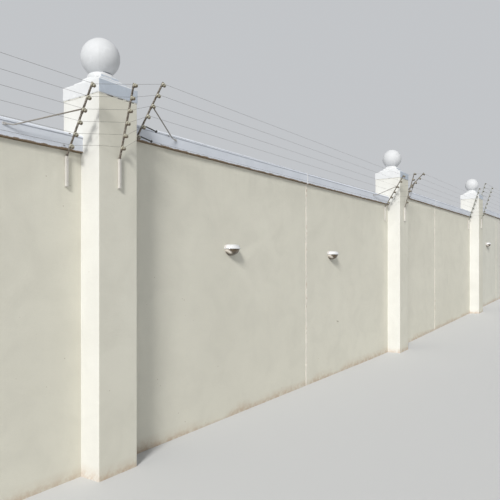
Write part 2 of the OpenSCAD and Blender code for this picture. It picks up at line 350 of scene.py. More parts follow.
def bolt(piece, origin, out, radius, height, washer, turn, material=0):
    """A hexagon head on a washer, standing out of a face."""
    side = unit(np.cross(out, (0.2, 0.1, 1.0)))
    axes = (origin, side, np.cross(out, side), out)
    rim = [(washer * 0.94, 0.0), (washer, 0.0004), (washer, 0.0012), (washer * 0.93, 0.0016),
           (radius, 0.0016)]
    piece.add(lathe(rim, 24, *axes), edge=0.4, material=material)
    head = [(radius, 0.0014), (radius, height * 0.82), (radius * 0.9, height), (radius * 0.55, height)]
    piece.add(lathe(head, np.arange(6) * math.pi / 3 + turn, *axes), edge=0.7, material=material)
    tip = [(radius * 0.42, height * 0.9), (radius * 0.42, height * 1.35), (radius * 0.36, height * 1.45)]
    piece.add(lathe(tip, 12, *axes), edge=0.5, material=material)


# Materials
def tint(share, color, lift=0.0):
    return tuple(min(1.0, share * v + lift) for v in color)


class Nodes:
    """A tree of shader nodes. An input takes a value, or the output of another node."""

    def __init__(self, owner):
        owner.use_nodes = True
        self.tree = owner.node_tree

    def put(self, socket, value):
        if isinstance(value, bpy.types.NodeSocket):
            self.tree.links.new(value, socket)
        else:
            socket.default_value = (*value, 1.0) if socket.type == "RGBA" else value

    def node(self, kind, inputs, output=0, **settings):
        """The output of a new node with these settings and inputs."""
        n = self.tree.nodes.new("ShaderNode" + kind)
        for key, value in settings.items():
            setattr(n, key, value)
        for key, value in inputs.items():
            self.put(n.inputs[key], value)
        return n.outputs[output]

    def maths(self, kind, a, b):
        return self.node("Math", {0: a, 1: b}, operation=kind)

    def sees_backdrop(self):
        """1 on straight and mirrored rays and on those through glass, else 0."""
        camera, glossy, through = (self.node("LightPath", {}, "Is %s Ray" % kind)
                                   for kind in ("Camera", "Glossy", "Transmission"))
        return self.maths("MINIMUM", 1.0, self.maths("ADD", camera, self.maths("ADD", glossy, through)))


class Paint(Nodes):
    """A material in the coordinates of the model, whose colours are laid one over another. Where a height or
    a share is a tuple, it holds the settings of a noise: scale, detail, roughness, distortion and stretch."""

    def __init__(self, name, color):
        self.material = bpy.data.materials.new(name)
        super().__init__(self.material)
        self.bsdf = self.tree.nodes["Principled BSDF"]
        self.where = self.node("TexCoord", {}, "Object")
        self.color = color

    def stretched(self, scale):
        return self.node("Mapping", {"Vector": self.where, "Scale": scale}) if scale else self.where

    def noise(self, scale, detail=4.0, rough=0.55, distort=0.0, stretch=None):
        return self.node("TexNoise", {"Vector": self.stretched(stretch), "Scale": scale, "Detail": detail,
                                      "Roughness": rough, "Distortion": distort}, "Fac")

    def cells(self, scale):
        return self.node("TexVoronoi", {"Vector": self.where, "Scale": scale}, "Distance", feature="F1")

    def field(self, value):
        return self.noise(*value) if isinstance(value, tuple) else value

    def ramp(self, value, low, high, out_low=0.0, out_high=1.0):
        inputs = {"Value": self.field(value), "From Min": low, "From Max": high, "To Min": out_low,
                  "To Max": out_high}
        return self.node("MapRange", inputs, "Result", interpolation_type="SMOOTHSTEP")

    def mark(self, name):
        return self.node("Attribute", {}, "Fac", attribute_name=name)

    def marked(self, name, *ramp):
        """A mark of the mesh, broken up by a ramp."""
        return self.maths("MULTIPLY", self.mark(name), self.ramp(*ramp))

    def cover(self, share, color):
        self.color = self.node("Mix", {0: share, 6: self.color, 7: color}, 2, data_type="RGBA")

    def bumps(self, *layers):
        """Each layer is a height and its depth in metres."""
        below = {}
        for height, depth in layers:
            inputs = {"Strength": 1.0, "Distance": depth, "Height": self.field(height), **below}
            below = {"Normal": self.node("Bump", inputs, "Normal")}
        self.put(self.bsdf.inputs["Normal"], below["Normal"])

    def finish(self, rough, metallic=0.0, specular=0.5, **more):
        more.update(Base_Color=self.color, Roughness=rough, Metallic=metallic, Specular_IOR_Level=specular)
        for key, value in more.items():
            self.put(self.bsdf.inputs[key.replace("_", " ")], value)
        return self.material


def render_paint(name, pale, dull, worn):
    """Smooth cement render under an off-white coat."""
    p = Paint(name, pale)
    p.cover(p.ramp((0.55, 3, 0.5), 0.32, 0.70), dull)
    p.cover(p.ramp((2.6, 5, 0.6, 0.6), 0.38, 0.72, 0.0, 0.5), tint(0.925, dull))
    p.cover(p.ramp((140, 2, 0.5), 0.40, 0.75, 0.0, 0.10), tint(0.82, dull))
    p.cover(p.ramp((0.9, 2, 0.5, 0.8, (1.0, 1.0, 1.7)), 0.58, 0.78, 0.0, 0.35), tint(1.05, pale))
    runs = (5.0, 4, 0.6, 0.0, (3.0, 3.0, 0.2))
    p.cover(p.marked("streak", runs, 0.42, 0.70, 0.0, 0.32), (0.44, 0.42, 0.37))
    spots = p.maths("MULTIPLY", p.ramp(p.cells(9.0), 0.030, 0.055, 0.8, 0.0), p.ramp((2.1, 2), 0.5, 0.6))
    p.cover(spots, (0.34, 0.28, 0.21))
    # Brown from splashed dirt and nicks, and painted shade under the joint strip's coping and inside a foot's
    # open end.
    p.cover(p.marked("soil", (13, 6, 0.7), 0.30, 0.62, 0.15, 0.85), (0.47, 0.335, 0.225))
    p.cover(p.marked("edge", (38, 4, 0.6), 0.50, 0.62), worn)
    sweep, drag = (1.7, 4, 0.55, 1.1, (1.0, 1.0, 1.6)), (9.0, 5, 0.62, 1.6, (1.0, 1.0, 2.3))
    p.bumps((sweep, 0.0055), (drag, 0.0010), ((210, 3, 0.6), 0.00020))
    return p.finish(p.ramp((12, 4), 0.3, 0.7, 0.72, 0.90), specular=0.3)


def white_paint(name, white, grey):
    """Cast concrete under white paint that has worn and dulled."""
    p = Paint(name, white)
    p.cover(p.ramp((1.6, 5, 0.6, 0.5), 0.35, 0.72), grey)
    p.cover(p.ramp((30, 5, 0.65), 0.5, 0.74, 0.0, 0.22), tint(0.86, grey))
    runs = (6.0, 4, 0.6, 0.0, (6.0, 6.0, 0.22))
    p.cover(p.marked("streak", runs, 0.46, 0.70, 0.0, 0.45), (0.46, 0.46, 0.45))
    # Painted highlight: lighter along the worn corners and arrises.
    p.cover(p.marked("edge", (15, 3), 0.35, 0.6, 0.0, 0.45), tint(1.10, white))
    p.cover(p.marked("edge", (55, 5, 0.7), 0.62, 0.70), (0.42, 0.38, 0.33))
    # On a face with bands: painted light on the brighter top band, a painted shadow line under it, and
    # painted shade in brown along the foot
    rise = p.mark("rise")
    high = p.maths("ADD", rise, p.ramp((16, 4, 0.6), 0.3, 0.7, -0.022, 0.022))
    # Painted light: the top band is brighter.
    band = p.maths("MULTIPLY", p.ramp(rise, 0.598, 0.602, 0.0, 0.6), p.ramp(high, 0.97, 0.99, 1.0, 0.0))
    p.cover(band, tint(1.16, white))
    # Painted shadow: a dull blue-grey line under the top band.
    line = p.maths("MULTIPLY", p.ramp(rise, 0.552, 0.566), p.ramp(rise, 0.595, 0.600, 0.6, 0.0))
    p.cover(line, (0.33, 0.36, 0.41))
    # Painted shade: brown along the foot of the face.
    p.cover(p.ramp(high, 0.046, 0.084, 0.94, 0.0), (0.175, 0.112, 0.050))
    # Painted shade: brown on the coping's underside.
    p.cover(p.marked("soil", (14, 4, 0.6), 0.1, 0.55, 0.65, 1.0), (0.17, 0.112, 0.055))
    pits = p.ramp(p.cells(75), 0.0, 0.16)
    p.bumps(((4.0, 4, 0.55, 0.8), 0.0020), ((170, 4, 0.65), 0.0003), (pits, 0.0002))
    return p.finish(p.ramp((20, 4), 0.3, 0.7, 0.52, 0.72), specular=0.4)


def mortar_paint(name, painted, gap_shade):
    """Mortar painted over with the rest, but for its open gaps."""
    p = Paint(name, painted)
    p.cover(p.ramp((35, 6, 0.7), 0.35, 0.65), tint(0.84, painted))
    gaps = p.maths("ADD", p.mark("soil"), p.ramp((70, 4, 0.6), 0.3, 0.7, -0.15, 0.15))
    # Painted shade: near black in the open gaps.
    p.cover(p.ramp(gaps, 0.35, 0.65), gap_shade)
    p.bumps(((60, 5, 0.7), 0.0015))
    return p.finish(0.92, specular=0.2)


def strut_paint(name, tone, dull, rust_share):
    """Weathered steel, with rust, rubbed edges and old wall paint where it streaks."""
    p = Paint(name, tone)
    p.cover(p.ramp((24, 5, 0.6), 0.35, 0.68), dull)
    p.cover(p.ramp((170, 3, 0.6), 0.5, 0.7, 0.0, 0.5), tint(0.7, dull))
    p.cover(p.ramp((38, 6, 0.72, 0.4), 0.60 - rust_share, 0.70 - rust_share, 0.0, 0.8), (0.105, 0.050, 0.022))
    p.cover(p.marked("edge", (80, 4), 0.46, 0.60, 0.0, 0.8), (0.34, 0.31, 0.27))
    p.cover(p.marked("streak", (20, 3), 0.2, 0.6, 0.6, 1.0), (0.52, 0.51, 0.50))
    p.bumps(((190, 4, 0.6), 0.00025), ((30, 4), 0.0005))
    return p.finish(p.ramp((60, 4), 0.3, 0.7, 0.48, 0.80), 0.25)


def ceramic_paint(name, pale, dull, painted_shading):
    p = Paint(name, pale)
    p.cover(p.ramp((18, 4), 0.35, 0.7), dull)
    p.cover(p.ramp((300, 3, 0.6), 0.52, 0.7, 0.0, 0.4), (0.24, 0.20, 0.13))
    # Painted shade on the underside, also darker in the groove and at the base; on the dark insulators,
    # painted light on the pale nose.
    p.cover(p.marked("soil", (90, 5, 0.7), 0.15, 0.5, 0.55, 1.0), painted_shading)
    # Painted highlight: a pale rim on the upper side of the head.
    p.cover(p.marked("edge", (120, 3), 0.30, 0.55, 0.1, 0.85), (0.60, 0.58, 0.48))
    p.bumps(((260, 3, 0.6), 0.0002))
    return p.finish(p.ramp((70, 3), 0.3, 0.7, 0.34, 0.6))


def metal_paint(name, tone, dull, metallic, low, high):
    p = Paint(name, tone)
    p.cover(p.ramp((45, 5, 0.6), 0.35, 0.66), dull)
    p.cover(p.ramp((120, 5, 0.7), 0.56, 0.68, 0.0, 0.8), (0.14, 0.070, 0.032))
    p.bumps(((400, 3, 0.6), 0.0001))
    return p.finish(p.ramp((90, 4), 0.3, 0.7, low, high), metallic)


def plastic_paint(name, tone, dust, low, high, coat=0.0):
    p = Paint(name, tone)
    p.cover(p.ramp((14, 4, 0.6), 0.35, 0.7, 0.0, 0.6), tint(0.86, tone))
    p.cover(p.marked("soil", (60, 5, 0.7), 0.3, 0.65), dust)
    p.cover(p.marked("edge", (90, 4), 0.4, 0.6, 0.0, 0.6), tint(1.2, tone, 0.02))
    p.bumps(((420, 2, 0.5), 0.00006), ((22, 3), 0.0003))
    return p.finish(p.ramp((40, 4), 0.3, 0.7, low, high), Coat_Weight=coat, Coat_Roughness=0.12)


def glass_paint(name):
    """Brown glass with a painted pale glint, a paler band, and painted shade."""
    p = Paint(name, (0.125, 0.090, 0.052))
    p.cover(p.ramp((16, 4), 0.35, 0.7), (0.090, 0.063, 0.036))
    p.cover(p.marked("streak", (24, 4), 0.2, 0.6, 0.6, 1.0), (0.290, 0.225, 0.160))
    # Painted shade: darker under the hood and towards the bottom.
    p.cover(p.marked("soil", (70, 5, 0.7), 0.3, 0.65, 0.3, 1.0), (0.055, 0.034, 0.016))
    # Painted highlight: the pale glint.
    p.cover(p.marked("edge", (26, 3), 0.2, 0.6, 0.75, 1.0), (0.86, 0.80, 0.73))
    p.bumps(((60, 2), 0.0003))
    return p.finish(p.ramp((50, 3), 0.3, 0.7, 0.16, 0.32), Coat_Weight=0.5, Transmission_Weight=0.10)


RENDER = render_paint("render", (0.735, 0.718, 0.625), (0.690, 0.672, 0.585), (0.77, 0.75, 0.68))
FAR_RENDER = render_paint("far_render", (0.718, 0.710, 0.638), (0.672, 0.664, 0.594), (0.76, 0.745, 0.69))
# A lit and a shaded copy of the pier's render: painted light on its sides, painted shade on its front and
# back.
PIER_PAINTED_SHADE = render_paint("pier_render", (0.715, 0.700, 0.615), (0.675, 0.658, 0.572), (0.78, 0.77, 0.71))
PIER_PAINTED_LIGHT = render_paint("pier_pale", (0.730, 0.728, 0.698), (0.705, 0.700, 0.662), (0.78, 0.77, 0.73))
FOOT_PAINT = render_paint("foot_paint", (0.640, 0.622, 0.585), (0.560, 0.540, 0.505), (0.50, 0.47, 0.43))
WHITE = white_paint("white_coping", (0.690, 0.725, 0.790), (0.640, 0.675, 0.735))
CAP_WHITE = white_paint("white_cap", (0.713, 0.724, 0.736), (0.673, 0.684, 0.697))
# Painted shade: a duller, bluer copy of the cap's white for its steep front and back faces.
CAP_PAINTED_SHADE = white_paint("white_cap_painted_shade", (0.530, 0.585, 0.660), (0.465, 0.518, 0.590))
# Painted shade: a dark blue-grey for the ball's lowest band over the front of the flat.
BALL_PAINTED_SHADE = white_paint("white_ball_painted_shade", (0.300, 0.325, 0.385), (0.250, 0.270, 0.320))
BALL_WHITE = white_paint("white_ball", (0.640, 0.652, 0.670), (0.605, 0.617, 0.635))
STRIP = render_paint("joint_strip", (0.890, 0.850, 0.772), (0.830, 0.788, 0.710), (0.82, 0.71, 0.62))
STRIP_WHITE = render_paint("joint_strip_white", (0.790, 0.798, 0.822), (0.730, 0.740, 0.765),
                           (0.76, 0.77, 0.79))
MORTAR = mortar_paint("mortar", (0.670, 0.660, 0.600), (0.040, 0.034, 0.028))
STRUT = strut_paint("strut", (0.150, 0.125, 0.100), (0.085, 0.068, 0.053), 0.02)
PALE_STRUT = strut_paint("pale_strut", (0.400, 0.430, 0.385), (0.285, 0.305, 0.270), 0.0)
STAY = strut_paint("stay", (0.270, 0.240, 0.195), (0.150, 0.120, 0.085), 0.03)
CERAMIC = ceramic_paint("insulator", (0.46, 0.440, 0.355), (0.35, 0.330, 0.255), (0.125, 0.090, 0.055))
BROWN_CERAMIC = ceramic_paint("insulator_brown", (0.235, 0.200, 0.145), (0.150, 0.125, 0.088),
                              (0.060, 0.042, 0.026))
DARK_CERAMIC = ceramic_paint("insulator_dark", (0.130, 0.125, 0.095), (0.080, 0.075, 0.055),
                             (0.72, 0.70, 0.64))
WIRE = metal_paint("wire", (0.230, 0.222, 0.205), (0.120, 0.112, 0.098), 0.6, 0.45, 0.7)
ZINC = metal_paint("bolt", (0.250, 0.215, 0.170), (0.130, 0.098, 0.068), 0.45, 0.45, 0.75)
BLACK = plastic_paint("black_plastic", (0.018, 0.018, 0.019), (0.10, 0.085, 0.07), 0.34, 0.55)
HOOD = plastic_paint("light_hood", (0.690, 0.700, 0.712), (0.42, 0.39, 0.35), 0.30, 0.48, 0.20)
PLATE = plastic_paint("light_back", (0.520, 0.430, 0.380), (0.30, 0.25, 0.20), 0.50, 0.70)
BOWL = glass_paint("light_bowl")


# Piers and walls. A wear holds the size and least noise of its chips, and the size and share of its dents.
SHAFT_EASE, EDGE_GUARD, CORNER_CHIP, CORNER_WEAR = 0.003, 0.004, 0.0022, (0.045, 0.62, 0.28, 0.5)
BED = 0.008             # height of the mortar under a cap
WALL_INTO_PIER, UNDER_COPING = 0.006, 0.001
PIER_CELL, PIER_WAVE, PIER_STREAKS = 0.055, 0.0012, 0.20
WALL_CELL, WALL_WAVE, WALL_STREAKS = 0.062, 0.0022, 0.22


def bay_runs(j, into):
    """The two runs of a bay, one on each side of its movement joint, set into the piers by a given amount."""
    return ((bay_left(j) - into, joint_left(j)), (joint_left(j) + JOINT_W, bay_right(j) + into))


def splash(points, seed=5):
    """How much dirt has splashed up from the floor at each point."""
    above = points[:, 2] - floor_at(points[:, 0])
    reach = 0.03 + 0.11 * noise(points * (1, 1, 0), 0.30, seed)
    return clip01(1 - above / reach) ** 1.3


def by_side(outline, steep):
    """The material of each face of a loft: 1 on steep sides that face the front or the back, else 0."""
    ahead = unit(np.roll(outline, -1, 0) - outline)
    flat = np.abs(ahead[:, 0]) > 0.75
    # Material 1 takes the painted-shade copy of a paint.
    return (np.asarray(steep)[:, None] & flat).astype(int).ravel().tolist() + [0, 0]


def add_shaft(piece, centre, half, top, parts, cell, wave, seed, streaks, painted_light_split=False):
    """An upright block of render from the ground level up, with uneven faces and worn corners."""
    outline, near = rectangle(*half, SHAFT_EASE, *parts)
    levels = np.linspace(0, top, int(top / cell + 0.5) + 1)
    levels = np.sort(np.append(levels, (EDGE_GUARD, top - EDGE_GUARD)))
    points, normal = upright(outline + centre, levels)
    corner = np.tile(near, len(levels))
    waves = ((wave, (0.6, 0.6, 0.5)), (0.35 * wave, 0.17))
    points = weathered(points, normal, corner, waves, CORNER_CHIP, CORNER_WEAR, seed)
    reach = 0.25 + 0.9 * noise(points * (1, 1, 0), 0.12, seed + 4)
    drip = clip01(1 - (top - points[:, 2]) / reach) * streaks
    # When split by side, the sides take the painted-light copy and the front and back the painted-shade one.
    piece.add(loft(points.reshape(len(levels), -1, 3)), edge=corner * 0.45, soil=splash(points, seed),
              streak=drip, material=by_side(outline, [True] * (len(levels) - 1)) if painted_light_split else 0)


def build_pier(i):
    shaft = Piece()
    add_shaft(shaft, (pier_mid(i), 0), (PIER_W / 2, PIER_D / 2), pier_top(i) - BED, (8, 9), PIER_CELL,
              PIER_WAVE, 11 + 7 * i, PIER_STREAKS, painted_light_split=True)
    shaft.make("pier_%d" % (i + 1), "_render", [PIER_PAINTED_LIGHT, PIER_PAINTED_SHADE], "render")


def build_wall(j):
    wall = Piece()
    for k, (x0, x1) in enumerate(bay_runs(j, WALL_INTO_PIER)):
        centre, half, top = ((x0 + x1) / 2, WALL_MID), ((x1 - x0) / 2, WALL_T / 2), wall_top(j) - UNDER_COPING
        add_shaft(wall, centre, half, top, (int((x1 - x0) / WALL_CELL), 3), WALL_CELL, WALL_WAVE,
                  60 + 9 * j + 4 * k, WALL_STREAKS)
    wall.make("wall_%d" % (j + 1), "_render", [FAR_RENDER if j == BAYS[-1] else RENDER], "render")


# Copings, and the filler strips of the movement joints
COPING_EASE = [0.004, 0.0018, 0.0018, 0.0018, 0.0018, 0.005, 0.005]
COPING_RIDGE_EASE, COPING_CELL, COPING_INTO_PIER = 0.03, 0.045, 0.004
COPING_WAVE, COPING_CHIP, COPING_WEAR = 0.0014, 0.0045, (0.03, 0.66, 0.15, 0.35)
STRIP_PROUD, STRIP_CELL, STRIP_WAVE, STRIP_CHIP = 0.002, 0.014, 0.0008, 0.001
STRIP_STOPS = (0.0006, 0.0016, 0.007, 0.012, 0.017, 0.0224, 0.0234)
SMEAR, SMEAR_MOST = 0.050, 0.011


def coping_outline(grow):
    """The coping's cross-section, grown by the given amount, and how near each point is to a corner."""
    out = WALL_T / 2 + COPING_OVER + grow
    side = [(out, -grow), (out, COPING_BAND), (out - COPING_BAND_OUT, COPING_BAND),
            (out - COPING_BAND_OUT, COPING_H - COPING_BAND), (out, COPING_H - COPING_BAND),
            (out, COPING_H - COPING_ARRIS + grow), (out - COPING_ARRIS, COPING_H + grow)]
    full = side + [(0, COPING_H + COPING_RIDGE + grow)] + [(-y, z) for y, z in reversed(side)]
    return eased(full, COPING_EASE + [COPING_RIDGE_EASE] + COPING_EASE[::-1], cell=COPING_CELL)


def add_coping(piece, j, grow, xs, wave, seed, chip, plain=False):
    """The coping's cross-section drawn along X, uneven and worn. A plain one has no bands and no drips."""
    outline, near = coping_outline(grow)
    points, normal = (a[:, (2, 0, 1)] for a in upright(outline + (WALL_MID, wall_top(j)), xs))
    corner, high = np.tile(near, len(xs)), np.tile(outline[:, 1], len(xs))
    waves = ((wave, (0.5, 0.2, 0.2)), (0.4 * wave, 0.09))
    points = weathered(points, normal, corner, waves, chip, COPING_WEAR, seed)
    # Painted shade: the lowest few millimetres of the section, its underside.
    low = clip01(1 - (high + 0.002) / 0.004) * (0.6 if plain else 1.0)
    drip = 0.0 if plain else 0.5 * clip01(high / 0.14) ** 2 * noise(points * (1, 1, 0), 0.2, seed + 4)
    # Edge wear and painted highlight, strongest along the top.
    worn_edge = corner * np.where(high > COPING_H - COPING_BAND - 0.004, 1.0, 0.25)
    piece.add(loft(points.reshape(len(xs), -1, 3)), edge=worn_edge, soil=low, streak=drip,
              rise=1.0 if plain else np.clip(high / FACE_H, 0, 0.9), material=int(plain))


def build_strip(j):
    """The filler of a movement joint, smeared unevenly over the wall's edges, and white in the coping."""
    strip = Piece()
    x = joint_left(j) + JOINT_W / 2
    outline, near = rectangle(JOINT_W / 2, WALL_T / 2 + STRIP_PROUD, 0.0022, 4, 3)
    levels = np.linspace(0, wall_top(j), int(wall_top(j) / STRIP_CELL))
    points, normal = upright(outline + (x, WALL_MID), levels)
    dents = clip01(noise(points, (0.012, 0.05, 0.022), 41 + j) - 0.5)
    sink = 0.0002 + 0.0012 * noise(points, (0.01, 0.01, 0.06), 31 + j) + 0.0018 * dents
    points = points - normal * sink[:, None]
    across, deep = points[:, 0] - x, points[:, 1] - WALL_MID
    side = np.sign(across) * (np.abs(across) > JOINT_W / 2 - 0.005)
    proud = clip01((np.abs(deep) - WALL_T / 2 + 0.001) / 0.001)
    along = np.column_stack([side, np.sign(deep), points[:, 2]])
    smear = clip01(noise(along, (0.5, 0.5, 0.034), 45 + j) - 0.42)
    smear *= 0.4 + noise(along, (0.5, 0.5, 0.3), 46 + j)
    points[:, 0] += side * proud * np.minimum(SMEAR * smear, SMEAR_MOST)
    dull = clip01(2.2 * noise(points * Z, 0.11, 48 + j) - 1.1)
    nicks = clip01(9 * (noise(points * Z, 0.036, 49 + j) - 0.70)) * (points[:, 0] > x + 0.003)
    strip.add(loft(points.reshape(len(levels), -1, 3)), edge=np.tile(near, len(levels)) * 0.7,
              soil=np.maximum(splash(points), nicks), streak=dull)
    xs = joint_left(j) + np.array(STRIP_STOPS)
    add_coping(strip, j, STRIP_PROUD, xs, STRIP_WAVE, 51 + j, STRIP_CHIP, plain=True)
    strip.make("movement_joint_%d" % (j + 1), "_strip", [STRIP, STRIP_WHITE], "joint_strip")


def build_coping(j):
    coping = Piece()
    for k, (x0, x1) in enumerate(bay_runs(j, COPING_INTO_PIER)):
        xs = np.linspace(x0, x1, int((x1 - x0) / COPING_CELL))
        add_coping(coping, j, 0, xs, COPING_WAVE, 70 + 8 * j + 3 * k, COPING_CHIP)
    coping.make("coping_%d" % (j + 1), "_white", [WHITE], "white_coping")


# Caps. The profile is how far each point stands out past the pier, and its height.
CAP_PROFILE = ((0.005, 0), (0.005, 0.107), (-0.056, 0.140), (-0.060, 0.149), (-0.102, 0.175),
               (-0.106, 0.193), (-0.140, 0.217), (-0.144, 0.230))
CAP_EASE = (0, 0.003, 0.0008, 0.0016, 0.0008, 0.0016, 0.0008, 0)
CAP_CHIP, CAP_WEAR = 0.0034, (0.03, 0.64, 0.12, 0.3)
BED_GAPS = ((-0.085, 0.027), (0.022, 0.022), (0.149, 0.014))    # middle and half width of each, in front
GAP_DEPTH = 0.016
AS_PLACED_PIER = 1      # the pier whose gaps stand as listed


def build_cap(i):
    """Rings that follow the steps of the cap, worn along their corners."""
    cap = Piece()
    profile, near = eased(CAP_PROFILE, CAP_EASE, closed=False, cell=0.022)
    profile = np.vstack([(0.002, 0.0), profile[0] + (0, 0.003), profile[1:-1], profile[-1] - (0, 0.003),
                         profile[-1] - (0.003, 0)])
    near = np.concatenate([[1, 1], near[1:-1], [1, 1]])
    rings, marks = [], []
    for (over, z), ring_near in zip(profile, near):
        ring, corner = pier_ring(over, np.interp(-over, (0.106, 0.140), (0.0035, 0.020)), 16, 18)
        rings.append(at_height(ring, pier_top(i) + z, pier_mid(i)))
        marks.append(np.maximum(corner, ring_near))
    points, marks = np.concatenate(rings), np.concatenate(marks)
    worn = wear(points, *CAP_WEAR, (100 + i, 110 + i))
    sink = 0.0010 * noise(points, 0.2, 120 + i) + 0.0012 * noise(points, 0.05, 125 + i)
    sink += marks * CAP_CHIP * worn
    points[:, :2] -= np.tile(outward(ring), (len(profile), 1)) * sink[:, None]
    points[:, 2] -= 0.35 * sink * (points[:, 2] > pier_top(i) + 0.01)
    drip = 0.5 * clip01((points[:, 2] - pier_top(i)) / CAP_TOP) * noise(points, 0.07, 130 + i)
    steep = np.diff(profile[:, 1]) > 1.2 * np.abs(np.diff(profile[:, 0]))
    # The steep front and back faces take the painted shade.
    cap.add(loft(points.reshape(len(profile), -1, 3)), edge=marks, streak=drip, material=by_side(ring, steep))
    cap.make("pier_cap_%d" % (i + 1), "_white", [CAP_WHITE, CAP_PAINTED_SHADE], "white_coping")
    build_cap_bed(i)


def build_cap_bed(i):
    """A thin uneven bed of mortar under the cap, open in a few places along the front."""
    bed = Piece()
    rings, gaps = [], []
    for z in np.linspace(-BED - 0.001, 0.001, 4):
        ring = pier_ring(0.0005, 0.003, 60, 66)[0]
        points = at_height(ring, pier_top(i) + z, pier_mid(i))
        gap = 0.5 * clip01(7 * (noise(points * (1, 1, 0), 0.021, 140 + i) - 0.74))
        for k, (middle, half) in enumerate(BED_GAPS):
            shift = 0.0 if i == AS_PLACED_PIER else 0.06 * (hashed(np.array([[i, k, 1]]), 3)[0] - 0.5)
            inside = half - np.abs(ring[:, 0] - middle - shift)
            gap = np.maximum(gap, clip01(1 + inside / 0.004) * (ring[:, 1] < -PIER_D / 2 + 0.01))
        back = 0.0010 * noise(points, 0.022, 150 + i) - 0.0008 + GAP_DEPTH * gap
        points[:, :2] -= outward(ring) * back[:, None]
        rings.append(points)
        gaps.append(gap)
    # The open gaps take painted shade.
    bed.add(loft(rings), soil=np.concatenate(gaps))
    bed.make("pier_cap_%d" % (i + 1), "_bed", [MORTAR], "white_coping", replace=False)


# Balls, with the seam of their mould, bedded in mortar on the flat of the cap. The mortar's rim has a height
# for each angle, and its foot a share of the way out over the flat.
BALL_DROP = math.sqrt(BALL_R ** 2 - BALL_SEAT_R ** 2)
BALL_TURNS, BALL_RINGS, BALL_WITHIN, TOP_GAP = 80, 54, 0.0012, 0.006
SEAM, SEAM_HEIGHT, SEAM_WIDTH = math.radians(225.5), 0.0015, 1.1
SEAM_STOPS = np.radians([-2.4, -1.6, -0.8, 0.8, 1.6, 2.4])
PAINTED_SHADE_FROM, PAINTED_SHADE_TO = 241, 291
COLLAR_INNER, COLLAR_OUTER = (-0.144, 0.020), (-0.103, 0.034)
RIM_ANGLE = np.radians((0, 90, 126, 144, 176, 216, 306, 340))
RIM_Z = (0.2360, 0.2350, 0.2375, 0.2340, 0.2312, 0.2302, 0.2305, 0.2340)
FULL_ANGLE = np.radians((0, 60, 110, 126, 150, 180, 215, 275, 305, 330))
FULLNESS = (0.50, 0.50, 0.45, 0.42, 0.70, 0.85, 1.00, 1.00, 0.30, 0.40)
COLLAR_LEVELS = ((0.0, 0.0), (0.15, 0.0025), (0.35, 0.0045), (0.6, 0.0050), (0.82, 0.0032), (0.95, 0.0010),
                 (1.0, 0.0), (1.06, -0.006))


def add_ball(piece, i):
    """The ball, with a low ridge along its seam and painted shade on its lowest band where it overhangs the
    front of the flat.
    """
    centre = (pier_mid(i), 0, pier_top(i) + CAP_TOP + BALL_DROP)
    seams = [SEAM + half + SEAM_STOPS for half in (0, math.pi)]
    turns = np.sort(np.concatenate([SEAM + np.arange(BALL_TURNS) * 2 * math.pi / BALL_TURNS, *seams]))
    bed = -math.acos(-BALL_DROP / BALL_R) + math.pi / 2
    tilt = np.linspace(bed, math.pi / 2 - TOP_GAP, BALL_RINGS)
    off = np.degrees(np.abs(np.angle(np.exp(1j * 2 * (turns - SEAM))) / 2))
    rings = []
    for t in tilt:
        ridge = SEAM_HEIGHT * np.exp(-(off * math.cos(t) / SEAM_WIDTH) ** 2) * np.clip(1 - t / 0.5, 0.2, 1)
        r = BALL_R - BALL_WITHIN + ridge
        rings.append(polar(r * math.cos(t), turns, r * math.sin(t)) + centre)
    points = np.concatenate(rings)
    out = unit(points - centre)
    points = points - out * (0.0007 * noise(points, 0.07, 160 + i) - 0.0002)[:, None]
    turned = np.degrees(turns) % 360
    # Painted shade: the lowest band, at the angles where the ball overhangs the front of the flat.
    painted_shading = np.zeros((len(tilt) - 1, len(turns)), int)
    painted_shading[0, (turned > PAINTED_SHADE_FROM) & (turned < PAINTED_SHADE_TO)] = 2
    # The grey streaks grow as the surface faces down, so the ball greys towards its underside.
    piece.add(loft(points.reshape(len(tilt), -1, 3)), streak=clip01(-out[:, 2]) * 0.35,
              material=painted_shading.ravel().tolist() + [0, 0])


def add_collar(piece, i):
    """The mortar that rises from the cap to a rim on the ball, fullest at the near corner."""
    inner, outer = (pier_ring(over, ease, 14, 20)[0] for over, ease in (COLLAR_INNER, COLLAR_OUTER))
    around = 2 * math.pi
    full = np.interp(np.arctan2(outer[:, 1], outer[:, 0]), FULL_ANGLE, FULLNESS, period=around)
    base = inner + (outer - inner) * full[:, None]
    angle = np.arctan2(base[:, 1], base[:, 0])
    base_r = np.linalg.norm(base, axis=1)
    past = np.maximum(np.abs(base[:, 0]) - PIER_W / 2, np.abs(base[:, 1]) - PIER_D / 2)
    base_z = np.interp(-past, [-o for o, z in CAP_PROFILE[1:]], [z for o, z in CAP_PROFILE[1:]]) - 0.004
    rim_z = np.interp(angle, RIM_ANGLE, RIM_Z, period=around)
    edge_r = np.interp(angle, np.arctan2(inner[:, 1], inner[:, 0]), np.linalg.norm(inner, axis=1),
                       period=around)
    rim_r = np.sqrt(BALL_R ** 2 - (CAP_TOP + BALL_DROP - rim_z) ** 2) + 0.0015
    rim_r = np.maximum(rim_r, edge_r + 0.0012)
    rings = []
    for share, bulge in COLLAR_LEVELS:
        r = base_r + (rim_r - base_r) * min(share, 1) + bulge
        points = polar(r, angle, base_z + (rim_z - base_z) * share) + (pier_mid(i), 0, pier_top(i))
        rough = 0.0030 * (noise(points, 0.022, 170 + i) - 0.5) * min(1, 4 * share) * (share < 0.9)
        rings.append(points + polar(rough, angle, 0.0))
    piece.add(loft(rings), edge=0.1, streak=0.1, material=1)


def build_ball(i):
    ball = Piece()
    add_ball(ball, i)
    add_collar(ball, i)
    coats = [BALL_WHITE, CAP_WHITE, BALL_PAINTED_SHADE]
    ball.make("ball_finial_%d" % (i + 1), "_white", coats, "white_coping", sharp=55)


